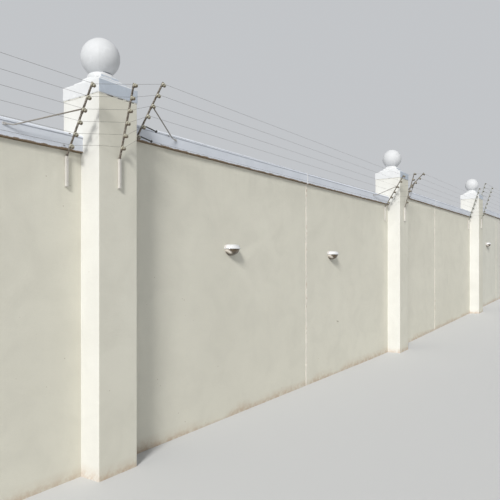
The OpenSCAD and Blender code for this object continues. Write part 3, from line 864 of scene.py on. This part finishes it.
# Brackets
class Bracket:
    """A bracket's place: its x, the face that holds it, the height of its bend, its lean, the side that its
    stay runs to or 0, how many insulators it holds, and the height of the wall's top or 0 on a pier."""

    def __init__(self, x, face, z, lean, stay, count, top):
        self.x, self.face, self.z, self.stay, self.count, self.top = x, face, z, stay, count, top
        lean = math.radians(lean)
        self.along = np.array([0, -math.sin(lean), math.cos(lean)])
        self.out = np.array([0, -math.cos(lean), -math.sin(lean)])
        self.base = np.array([x, face - FOOT_W / 2, z])
        self.seat = WIRE_SEAT if top else INSULATOR_L - WIRE_SEAT

    def at(self, along, out=0.0):
        return self.base + along * self.along + out * self.out

    def insulator(self, k):
        return self.at(FIRST_INSULATOR + k * INSULATOR_PITCH, STRUT_W / 2)

    def wire(self, k):
        return self.insulator(k) + self.seat * self.out + (WAIST_R + WIRE_R + WIRE_OFF) * self.along


def wall_bracket(i, j, side, lean):
    """The bracket beside pier i on the wall of bay j. Side is -1 to the left of the pier, 1 to its right."""
    tilt = math.radians(lean)
    clear = (COPING_OVER + STRUT_CLEAR + STRUT_W / 2 / math.cos(tilt) - FOOT_W / 2) / math.tan(tilt)
    x, z = pier_mid(i) + side * (PIER_W / 2 + BRACKET_AT), wall_top(j) - max(WALL_BEND, clear)
    return Bracket(x, WALL_FRONT, z, lean, side if i in STAYED else 0, held(i), wall_top(j))


def left_bracket(i):
    return wall_bracket(i, i - 1, -1, LEAN_AT_END[i - 1])


def right_bracket(i):
    return wall_bracket(i, i, 1, LEAN_AT_START[i])


def pier_bracket(i):
    lean = TALL_PIER_LEAN if held(i) > STRANDS else PIER_LEAN
    return Bracket(pier_mid(i), -PIER_D / 2, pier_top(i) - PIER_BEND, lean, 0, held(i), 0)


def brackets(i):
    left, right = [left_bracket(i)] if i > 0 else [], [right_bracket(i)] if i in BAYS else []
    return left + [pier_bracket(i)] + right


FOOT_EASE, FOOT_THICK, FOOT_OFF, BORE_DEPTH = 0.003, 0.0026, 0.0006, 0.09
SCREW_HEAD, SCREWS_UP = (0.0040, 0.0022, 0.0070), (0.045, FOOT_L - 0.030)
STRUT_EASE, STRUT_INTO_FOOT = 0.0022, FOOT_W / 5
BEAD_UP, BEAD_OUT, BEAD_R = 0.010, 0.010, 0.0022
STAY_FROM_TOP, PAINTED_STAY = 3, 2
# The size of a slab is its two half widths and the easing of its corners. Each level is a scale and a height.
PLATE_SIZE, PLATE_LEVELS = (0.0165, 0.0105, 0.003), ((1, 0), (1, 0.004), (0.95, 0.0055))
CLAMP_BELOW, CLAMP_SIZE = 0.024, (STRUT_W / 2 + 0.0018, STRUT_W / 2 + 0.0018, 0.003)
CLAMP_LEVELS = ((0.96, -0.009), (1, -0.008), (1, 0.008), (0.96, 0.009))
STEEL = (STRUT, STRUT, STRUT, PALE_STRUT, PALE_STRUT)


def add_foot(piece, b, n, seed):
    """A square tube, closed at its top and open below, with a painted screw near each end."""
    half, ease = FOOT_W / 2 - FOOT_OFF, FOOT_EASE
    bore = (half - FOOT_THICK) / half
    sides = np.linspace(ease, FOOT_L - ease, int(FOOT_L / 0.03))
    levels = [(bore, min(BORE_DEPTH, 0.5 * FOOT_L)), (bore, 0.0005), (bore + 0.02, 0.0)]
    levels += [(1 - 0.4 * ease / half, 0.0), (1.0, 0.6 * ease)] + [(1.0, z) for z in sides]
    levels += [(1.0, FOOT_L - 0.6 * ease), (1 - ease / half, FOOT_L)]
    ring, near = rectangle(half, half, ease, 2, 2, 2)
    middle = np.array([b.x, b.face - FOOT_W / 2 + 0.0005, b.z - FOOT_L])
    points = stacked(ring, levels).reshape(-1, 3) + middle
    points[:, :2] -= unit(points[:, :2] - middle[:2]) * (0.0005 * noise(points, 0.02, seed))[:, None]
    # Painted shade inside the open end of the tube.
    inside = np.repeat([1.0, 0.8] + [0.0] * (len(levels) - 2), len(ring))
    piece.add(loft(points.reshape(len(levels), -1, 3)), edge=np.tile(near, len(levels)) * 0.4, soil=inside,
              streak=0.4)
    for up in SCREWS_UP:
        place = (b.x, b.face - FOOT_W + 0.0008, b.z - FOOT_L + up)
        bolt(piece, place, -Y, *SCREW_HEAD, 0.3 + n)


def add_strut(piece, b, seed):
    """A square bar with eased edges, and a weld bead where it leaves the foot."""
    half, ease = STRUT_W / 2 - 0.0002, STRUT_EASE
    length = FIRST_INSULATOR + (b.count - 1) * INSULATOR_PITCH + STRUT_PAST_END + STRUT_INTO_FOOT
    ring, near = rectangle(half, half, ease, 2, 2, 2)
    sides = np.linspace(ease * 1.2, length - ease * 1.2, max(4, int(length / 0.03)))
    levels = np.concatenate([[0, ease * 0.6], sides, [length - ease * 0.6, length]]) - STRUT_INTO_FOOT
    scale = np.ones(len(levels))
    scale[[0, -1]] = 1 - ease / half
    across = np.cross(b.along, X)
    points = axes_to_world(stacked(ring, zip(scale, levels)), b.base, X, across, b.along)
    axis = b.base + levels[:, None, None] * b.along
    rough = 0.0004 * noise(points.reshape(-1, 3), 0.02, seed)
    points -= unit(points - axis) * rough.reshape(len(levels), -1, 1)
    piece.add(loft(points), edge=np.tile(near, len(levels)))
    bead = [b.at(BEAD_UP) + BEAD_OUT * (math.cos(a) * X + math.sin(a) * across)
            for a in np.linspace(0, 2 * math.pi, 17)]
    piece.add(tube(bead, BEAD_R, 6, ends=False), edge=0.1)


def add_stay(piece, b):
    """A bent rod from the coping up to the strut, with a small plate at its foot and a clamp at its top."""
    held_at = FIRST_INSULATOR + (b.count - STAY_FROM_TOP) * INSULATOR_PITCH
    foot = np.array([b.x + b.stay * STAY_RUN, COPING_PANEL_Y, b.top + STAY_FOOT_Z])
    knee = foot - np.array([b.stay * STAY_KNEE[0], STAY_KNEE[1], 0])
    top = b.at(held_at, -STRUT_W / 2)
    start = foot - (STAY_R + 0.001) * Y
    bend_in, bend_out = knee + (start - knee) * 0.2, knee + unit(top - knee) * 0.014
    path = [start + (knee - start) * t for t in (0, 0.3, 0.6, 0.8)]
    path += [bend(bend_in, knee, bend_out, t) for t in np.linspace(0.15, 0.85, 6)]
    path += [bend_out + (top - bend_out) * t for t in np.linspace(0, 1, 14)]
    faded = np.repeat(np.linspace(1, 0, len(path)) ** 0.8, 12)
    piece.add(tube(path, STAY_R - 0.0006, 12), edge=0.25, streak=faded, material=PAINTED_STAY)
    plate = slab(*PLATE_SIZE, PLATE_LEVELS, foot, X, Z, -Y)
    piece.add(plate, edge=0.4, streak=1.0, material=PAINTED_STAY)
    axes = (b.at(held_at - CLAMP_BELOW), X, np.cross(b.along, X), b.along)
    piece.add(slab(*CLAMP_SIZE, CLAMP_LEVELS, *axes), edge=0.5)


def build_brackets(i):
    steel, feet = Piece(), Piece()
    for n, b in enumerate(brackets(i)):
        seed = 200 + 10 * i + n
        add_foot(feet, b, n, seed)
        add_strut(steel, b, seed + 5)
        if b.stay:
            add_stay(steel, b)
    node = "fence_brackets_%d" % (i + 1)
    steel.make(node, "_steel", [STEEL[i], ZINC, STAY], "bracket_steel")
    feet.make(node, "_feet", [FOOT_PAINT], "render", replace=False)


# Insulators: a broad head by the strut, a groove for the wire and a slimmer nose with a bolt
BOBBIN = [(0.0120, 0.0), (0.0158, 0.0012), (0.0174, 0.0040), (0.0178, 0.0080), (0.0174, 0.0115),
          (0.0160, 0.0140), (0.0118, 0.0150), (0.0094, 0.0160), (0.0090, 0.0180), (0.0090, 0.0250),
          (0.0112, 0.0262), (0.0140, 0.0272), (0.0146, 0.0286), (0.0138, 0.0304), (0.0112, 0.0320),
          (0.0070, 0.0328)]
HEAD_AT, GROOVE_AT, NOSE_AT, BOLT_AT = 0.0085, 0.0215, 0.0255, 0.0324
BOBBIN_TURNS, BOLT_HEAD = 28, (0.0034, 0.0020, 0.0052)
GLAZE = (CERAMIC, CERAMIC, BROWN_CERAMIC, DARK_CERAMIC, DARK_CERAMIC)


def build_insulators(i):
    bobbins = Piece()
    profile = eased(BOBBIN, 0.0008, 1, closed=False)[0]
    height = np.repeat(profile[:, 1], BOBBIN_TURNS)
    # Darker in the groove and at the base against the strut.
    groove_and_base_dark = np.maximum(clip01(1 - np.abs(height - GROOVE_AT) / 0.0065) * 0.55, clip01(1 - height / 0.003))
    # Painted highlight along the head's rim.
    rim = clip01(1 - np.abs(height - HEAD_AT) / 0.008)
    nose = clip01((height - NOSE_AT) / 0.0015)
    for n, b in enumerate(brackets(i)):
        for k in range(b.count):
            base = b.insulator(k) + 0.0001 * b.out
            mesh = lathe(profile, BOBBIN_TURNS, base, X, np.cross(b.out, X), b.out)
            across = mesh[0] - base - np.outer((mesh[0] - base) @ b.out, b.out) + 1e-9
            # Painted shade on the side that faces down.
            underside_shade = clip01(0.05 - unit(across)[:, 2]) * 1.3
            if GLAZE[i] is DARK_CERAMIC:
                # Painted light: the pale nose of the dark insulators.
                bobbins.add(mesh, soil=nose)
            else:
                bobbins.add(mesh, edge=rim * (1 - underside_shade), soil=clip01(np.maximum(groove_and_base_dark, underside_shade)))
            bolt(bobbins, base + BOLT_AT * b.out, b.out, *BOLT_HEAD, k + n, material=1)
    bobbins.make("insulators_%d" % (i + 1), "_bobbins", [GLAZE[i], ZINC], "insulator", sharp=50)


# Strands
def strand(piece, points):
    """A wire through the given points, in lengths of about half a metre."""
    line = []
    for a, b in zip(points[:-1], points[1:]):
        parts = max(1, int(np.linalg.norm(b - a) / 0.5))
        line += [a + (b - a) * t / parts for t in range(parts)]
    line.append(points[-1])
    piece.add(tube(line, WIRE_R, 6), edge=0.3)


def turn_round(b, k):
    """The turn of a wire round the waist of an insulator."""
    centre = b.insulator(k) + b.seat * b.out
    r = WAIST_R + WIRE_R
    return [centre + r * (math.cos(a) * b.along + math.sin(a) * X) + 0.0016 * (t - 0.5) * b.out
            for t, a in zip(np.linspace(0, 1, 19), np.linspace(0, 2 * math.pi, 19))]


def splice_start(k):
    return right_bracket(SPLICED_BAY).wire(k) + (INSULATOR_R, 0, 0)


def splice_bulb(k):
    run = math.sqrt(END_INSULATOR_L ** 2 - END_INSULATOR_DROOP ** 2)
    return splice_start(k) + (run, 0, -END_INSULATOR_DROOP)


def build_bay_strands(j):
    wires = Piece()
    for k in range(strands(j)):
        start = right_bracket(j).wire(k)
        if j == SPLICED_BAY and k < SPLICED_STRANDS:
            strand(wires, [start, splice_start(k)])
            start = splice_bulb(k) + (BULB_R * 0.6, 0, 0)
        strand(wires, [start, left_bracket(j + 1).wire(k)])
    wires.make("fence_wires_%d" % (j + 1), "_strands", [WIRE], "wire")


def corner_points(a, b, x, side):
    """Where a strand bends round the pier's corner at x, if the straight way would cut it."""
    clear = WIRE_R + WIRE_OFF
    p = a + (b - a) * (x + side * clear - a[0]) / (b[0] - a[0])
    return [] if p[1] < -PIER_D / 2 - clear else [np.array([p[0], -PIER_D / 2 - clear, p[2]])]


def build_pier_strands(i):
    """The strands round the front of a pier, and a turn of wire round each insulator there."""
    wires = Piece()
    for k in range(held(i)):
        front = pier_bracket(i).wire(k)
        line = [front]
        if i > 0:
            left = left_bracket(i).wire(k)
            line = [left] + corner_points(left, front, pier_left(i), -1) + line
        if i in BAYS:
            right = right_bracket(i).wire(k)
            line = line + corner_points(right, front, pier_left(i) + PIER_W, 1) + [right]
        strand(wires, line)
    for b in brackets(i):
        for k in range(b.count):
            wires.add(tube(turn_round(b, k), WIRE_R * 0.95, 6), edge=0.3)
    wires.make("pier_wires_%d" % (i + 1), "_strands", [WIRE], "wire")


# Black end insulators
SLEEVE_R, SLEEVE_GROOVE, RIB_PITCH, BULB_OUT = 0.0057, 0.0008, 0.006, 0.0122


def build_end_insulators():
    """Ribbed sleeves that each end in a bulb."""
    ends = Piece()
    for k in range(SPLICED_STRANDS):
        start, end = splice_start(k), splice_bulb(k)
        way = unit(end - start)
        side = unit(np.cross(way, Z))
        length = np.linalg.norm(end - start)
        profile = [(0.0020, 0.0), (0.0040, 0.0015), (SLEEVE_R, 0.004)]
        for s in np.arange(0.010, length - 0.022, RIB_PITCH):
            profile += [(SLEEVE_R, s), (SLEEVE_R, s + 0.002)]
            profile += [(SLEEVE_R - SLEEVE_GROOVE, s + 0.003), (SLEEVE_R - SLEEVE_GROOVE, s + 0.005)]
        profile += [(SLEEVE_R, length - 0.016), (SLEEVE_R - 0.0004, length - 0.010),
                    (0.0060, length - 0.0082)]
        profile += [(BULB_OUT * math.sin(a), length - BULB_R * math.cos(a))
                    for a in np.radians(np.arange(32, 176, 12))]
        profile += [(0.0006, length + BULB_R * 0.995)]
        ends.add(lathe(profile, 24, start, side, -np.cross(side, way), way), edge=0.1, soil=0.15)
    ends.make("end_insulators", "_sleeves", [BLACK], "black_plastic", sharp=50)


# Wall lights: a half-round hood over a bowl
LIGHT_TURNS, LIGHT_OFF = 48, 0.0004
HOOD_PROFILE = [(0.1005, 0.0005), (0.1090, 0.0008), (0.1098, 0.0030), (0.1098, 0.0090), (0.1085, 0.0125),
                (0.1060, 0.0150), (0.1045, 0.0215), (0.1010, 0.0310), (0.0945, 0.0385), (0.0850, 0.0440),
                (0.0700, 0.0478), (0.0690, 0.0495)]
BOWL_PROFILE = [(0.0985 * math.cos(a), -0.0005 - 0.0705 * math.sin(a))
                for a in np.radians(np.arange(84, -1, -6))]
BOWL_RIM = [(0.0965, -0.0100), (0.1015, -0.0088), (0.1022, -0.0060), (0.1010, -0.0036), (0.0960, -0.0030)]
CLIP_NEAR, CLIP_FAR = 0.10, 0.16    # from the wall to the two edges of a clip, in radians


def half_turned(profile, x, z):
    """A profile turned through the half circle in front of the wall, just clear of it."""
    angles = np.pi + np.linspace(0, math.pi, LIGHT_TURNS)
    return loft([polar(r, angles, h) + (x, WALL_FRONT - LIGHT_OFF, z) for r, h in profile])


def add_hood(piece, x, z):
    """The hood, and a raised clip at each end of it."""
    profile, near = eased(HOOD_PROFILE, 0.0015, 2, closed=False, cell=0.012)
    mesh = half_turned(profile, x, z)
    dusty = clip01((mesh[0][:, 2] - z) / HOOD_H - 0.6) * 1.2
    piece.add(mesh, edge=np.repeat(near, LIGHT_TURNS) * 0.6, soil=dusty)
    left, right = np.linspace(CLIP_NEAR, CLIP_FAR, 4), -np.linspace(CLIP_FAR, CLIP_NEAR, 4)
    for angles in (np.pi + left, 2 * np.pi + right):
        rings = []
        for a in angles:
            rib = np.array([((r + 0.0010) * math.cos(a), (r + 0.0010) * math.sin(a), h)
                            for r, h in HOOD_PROFILE[3:-1]])
            rings.append(np.vstack([rib, (rib * (0.97, 0.97, 1.0))[::-1]]) + (x, WALL_FRONT, z))
        piece.add(loft(rings), material=1)


def add_bowl(piece, x, z):
    """The bowl, with a painted glint and a paler band to one side, painted shade under the hood and towards
    the bottom, and a rib round its rim.
    """
    mesh = half_turned(BOWL_PROFILE, x, z)
    low = clip01((z - mesh[0][:, 2]) / BOWL_H)
    left = (x - mesh[0][:, 0]) / LIGHT_R
    glint = clip01(1.3 - np.abs(left - 1.04 + 0.80 * low) / 0.12) * clip01((0.78 - low) / 0.12)
    band = clip01(1.2 - np.abs(low - 0.34 - 0.10 * left) / 0.17) * clip01(0.55 - 1.2 * left)
    # Painted shade just under the hood and towards the bottom.
    piece.add(mesh, edge=glint, streak=band, soil=clip01(low ** 3 + clip01(1 - low / 0.10)))
    mesh = half_turned(BOWL_RIM, x, z)
    # A painted glint on the left end of the rim.
    piece.add(mesh, edge=clip01(((x - mesh[0][:, 0]) / LIGHT_R - 0.74) / 0.12), streak=0.4)


def build_lights():
    hoods, bowls = Piece(), Piece()
    for x, z in LIGHTS:
        add_hood(hoods, x, z)
        add_bowl(bowls, x, z)
    hoods.make("light_hoods", "_white", [HOOD, PLATE], "light_hood", sharp=50)
    bowls.make("light_bowls", "_glass", [BOWL], "light_bowl", sharp=50)


# Small fixings: a bent peg in the wall, and four screw heads in the coping's face beside the second pier
PEG = np.array([-2.138, WALL_FRONT, 1.147])
PEG_PATH = ((0, 0.004, 0), (0, -0.012, -0.001), (0, -0.020, -0.004), (0, -0.022, -0.010))
PEG_R = (0.004, 0.004, 0.0036, 0.003)
SCREWS = ((0.980, 0.119, 1), (0.883, 0.017, 1), (-0.128, 0.134, 0), (-0.178, 0.033, 0))    # along, up, bay
HEAD_SIZE, HEAD_LEVELS = (0.0095, 0.0026, 0.0015), ((1, -0.001), (1, 0.0006), (0.9, 0.0012))


def build_fixings():
    fixings = Piece()
    fixings.add(tube(PEG + PEG_PATH, PEG_R, 10), soil=0.6)
    for along, up, bay in SCREWS:
        on_panel = COPING_BAND < up < COPING_H - COPING_BAND
        y = COPING_PANEL_Y if on_panel else WALL_FRONT - COPING_OVER
        place = (pier_left(1) + along, y, wall_top(bay) + up)
        fixings.add(slab(*HEAD_SIZE, HEAD_LEVELS, place, X, Z, -Y), soil=0.4)
    fixings.make("fixings", "", [ZINC], "bracket_steel", replace=False)


# What is built once for each pier or bay, and the rest
REPEATED = ((build_pier, PIERS), (build_wall, BAYS), (build_strip, BAYS), (build_coping, BAYS),
            (build_cap, PIERS), (build_ball, PIERS), (build_brackets, PIERS), (build_insulators, PIERS),
            (build_bay_strands, BAYS), (build_pier_strands, PIERS))
for build, places in REPEATED:
    for place in places:
        build(place)
build_end_insulators()
build_lights()
build_fixings()

# Floor, light and camera
BACKDROP = (0.545, 0.560, 0.580)
FLOOR_REACH_X, FLOOR_REACH_Y = 60, 50
FLOOR_COLOR = (0.60, 0.605, 0.61)
FADE_FROM, FADE_TO = 17.0, 40.0
SKY_COLOR, SKY_STRENGTH = (0.95, 0.975, 1.0), 0.42
SUN_COLOR, SUN_STRENGTH, SUN_ANGLE, TO_SUN = (1.0, 0.985, 0.955), 3.1, 14, (-2.5, -1.05, 1.7)
EYE, BACKWARD, LENS, SHIFT = (-9.548, -3.757, 1.858), (-0.8126, -0.5828, 0.0), 40.46, 0.0446


def build_floor():
    """A plain pale floor that rises smoothly with the foot of the wall and fades into the backdrop."""
    xs = np.concatenate([np.linspace(-FLOOR_REACH_X, -14, 24), np.linspace(-13.4, 12, 120),
                         np.linspace(13, FLOOR_REACH_X, 24)])
    smooth = np.array([np.mean(floor_at(x + np.linspace(-1.2, 1.2, 25))) for x in xs])
    smooth = np.where(xs < -12.6, 0.0, np.minimum(smooth, FLOOR_Z[-1]))
    ys = np.concatenate([np.linspace(-FLOOR_REACH_Y, -4, 12), np.linspace(-3, 3, 7),
                         np.linspace(4, FLOOR_REACH_Y, 12)])
    points = [(x, y, z - 0.0005) for x, z in zip(xs, smooth) for y in ys]
    a = np.arange(len(points)).reshape(len(xs), len(ys))
    quads = np.stack([a[:-1, :-1], a[1:, :-1], a[1:, 1:], a[:-1, 1:]], -1).reshape(-1, 4).tolist()
    mesh = smooth_mesh("floor", points, quads)
    floor = placed("floor", mesh)
    p = Paint("floor", FLOOR_COLOR)
    mesh.materials.append(p.finish(0.9, specular=0.1))
    far = p.node("VectorMath", {0: p.stretched((1.0, 1.0, 0.0))}, "Value", operation="LENGTH")
    fade = p.maths("MULTIPLY", p.ramp(far, FADE_FROM, FADE_TO), p.sees_backdrop())
    glow = p.node("Emission", {"Color": BACKDROP})
    both = p.node("MixShader", {0: fade, 1: p.bsdf.outputs[0], 2: glow})
    p.put(p.tree.nodes["Material Output"].inputs["Surface"], both)


def light_scene():
    """Soft light from all round, a plain backdrop and one broad key light."""
    world = bpy.data.worlds.new("studio")
    bpy.context.scene.world = world
    studio = Nodes(world)
    light = studio.node("Background", {"Color": SKY_COLOR, "Strength": SKY_STRENGTH})
    shown = studio.node("Background", {"Color": BACKDROP, "Strength": 1.0})
    both = studio.node("MixShader", {0: studio.sees_backdrop(), 1: light, 2: shown})
    studio.put(studio.tree.nodes["World Output"].inputs["Surface"], both)
    key = bpy.data.lights.new("key", "SUN")
    key.energy, key.angle, key.color = SUN_STRENGTH, math.radians(SUN_ANGLE), SUN_COLOR
    aim(placed("key", key), Vector(TO_SUN).normalized() * 30, TO_SUN)


def place_camera():
    """The camera at the photo's viewpoint."""
    data = bpy.data.cameras.new("camera")
    data.sensor_width, data.lens, data.shift_y, data.clip_end = 36, LENS, SHIFT, 300
    cam = placed("camera", data)
    aim(cam, EYE, BACKWARD)
    bpy.context.scene.camera = cam


build_floor()
light_scene()
place_camera()
bpy.context.scene.view_settings.view_transform = "Standard"

# Bring the scene up to date
bpy.context.view_layer.update()
